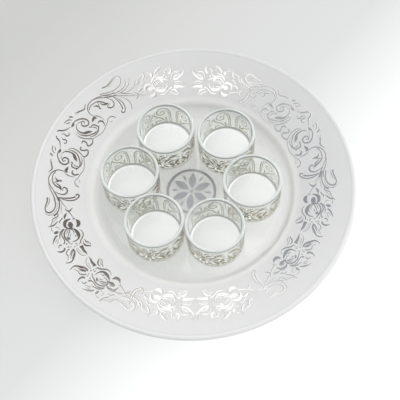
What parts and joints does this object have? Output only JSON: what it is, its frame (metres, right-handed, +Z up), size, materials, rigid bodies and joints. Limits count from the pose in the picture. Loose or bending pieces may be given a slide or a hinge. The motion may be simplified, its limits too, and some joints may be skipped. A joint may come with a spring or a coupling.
{
  "type": "seder plate",
  "caption": "Round glass seder plate with a wide rising rim and a flat well that holds a ring of loose straight-sided glass cups for the symbolic foods.",
  "frame": {"origin": "middle of the plate's flat underside, on the surface that it stands on", "axes": "+Z up through the middle of the plate, +Y to the far side, +X to the right"},
  "size_m": [0.33, 0.33, 0.043],
  "materials": {
    "plate_glass": "clear slumped glass, lightly frosted on the rim",
    "cup_glass": "clear pressed glass with a faint green tint",
    "silver_print": "silver fired onto the glass as a very thin printed ornament"
  },
  "bodies": {
    "plate": {"plate": "plate_glass"},
    "cup_right": {"cup_right": "cup_glass"},
    "cup_rear_right": {"cup_rear_right": "cup_glass"},
    "cup_rear_left": {"cup_rear_left": "cup_glass"},
    "cup_left": {"cup_left": "cup_glass"},
    "cup_front_left": {"cup_front_left": "cup_glass"},
    "cup_front_right": {"cup_front_right": "cup_glass"}
  },
  "joints": [
    {"name": "cup_right_lift", "type": "slide", "parent": "plate", "child": "cup_right", "axis": [0, 0, 1], "range_m": [0, 0.06]},
    {"name": "cup_rear_right_lift", "type": "slide", "parent": "plate", "child": "cup_rear_right", "axis": [0, 0, 1], "range_m": [0, 0.06]},
    {"name": "cup_rear_left_lift", "type": "slide", "parent": "plate", "child": "cup_rear_left", "axis": [0, 0, 1], "range_m": [0, 0.06]},
    {"name": "cup_left_lift", "type": "slide", "parent": "plate", "child": "cup_left", "axis": [0, 0, 1], "range_m": [0, 0.06]},
    {"name": "cup_front_left_lift", "type": "slide", "parent": "plate", "child": "cup_front_left", "axis": [0, 0, 1], "range_m": [0, 0.06]},
    {"name": "cup_front_right_lift", "type": "slide", "parent": "plate", "child": "cup_front_right", "axis": [0, 0, 1], "range_m": [0, 0.06]}
  ]
}
